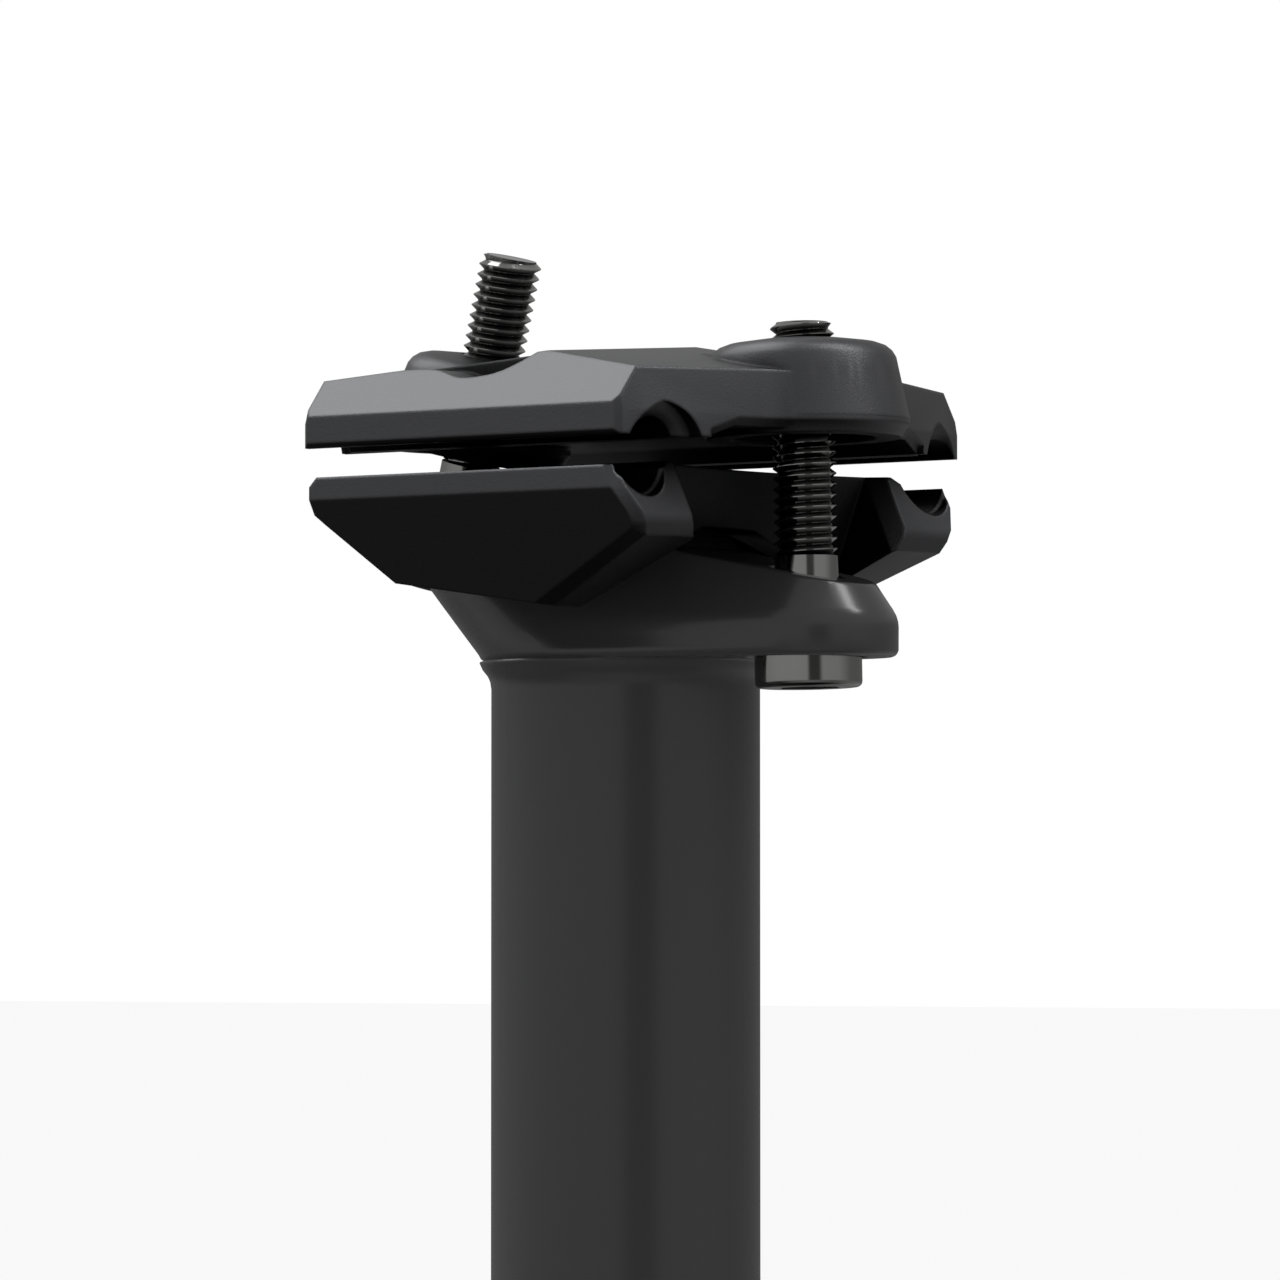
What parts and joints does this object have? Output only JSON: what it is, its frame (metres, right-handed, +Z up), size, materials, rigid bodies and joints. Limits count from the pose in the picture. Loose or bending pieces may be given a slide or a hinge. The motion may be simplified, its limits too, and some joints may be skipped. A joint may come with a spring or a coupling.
{
  "type": "bicycle seatpost",
  "caption": "Straight seatpost with a forged head and a two-bolt saddle rail clamp, black.",
  "frame": {"origin": "centre of the tube's open lower end", "axes": "+Z up the tube, +X to the front of the bicycle, rails along X"},
  "size_m": [0.0599, 0.0526, 0.3717],
  "materials": {
    "post": "satin black anodised",
    "clamp": "fine blasted black anodised",
    "bolt": "black oxide, slightly oily gloss",
    "washer": "black oxide"
  },
  "bodies": {
    "post": {"post": "post"},
    "clamp": {"lower_cradle": "clamp", "upper_clamp": "clamp"},
    "front_bolt": {"front_bolt": "bolt", "front_washer": "washer"},
    "rear_bolt": {"rear_bolt": "bolt", "rear_washer": "washer"}
  },
  "joints": [
    {"name": "saddle_tilt", "type": "hinge", "parent": "post", "child": "clamp", "pos_m": [0, 0, 0.336], "axis": [0, 1, 0], "range_deg": [-5, 5]},
    {"name": "front_screw", "type": "slide", "parent": "clamp", "child": "front_bolt", "axis": [-0.0227, 0, 0.9997], "range_m": [-0.002, 0.002]},
    {"name": "rear_screw", "type": "slide", "parent": "clamp", "child": "rear_bolt", "axis": [0.2385, 0, 0.9711], "range_m": [-0.002, 0.002]}
  ],
  "couplings": [
    {"joint": "front_screw", "follows": "saddle_tilt", "m_per_rad": 0.02144},
    {"joint": "rear_screw", "follows": "saddle_tilt", "m_per_rad": -0.02182}
  ]
}
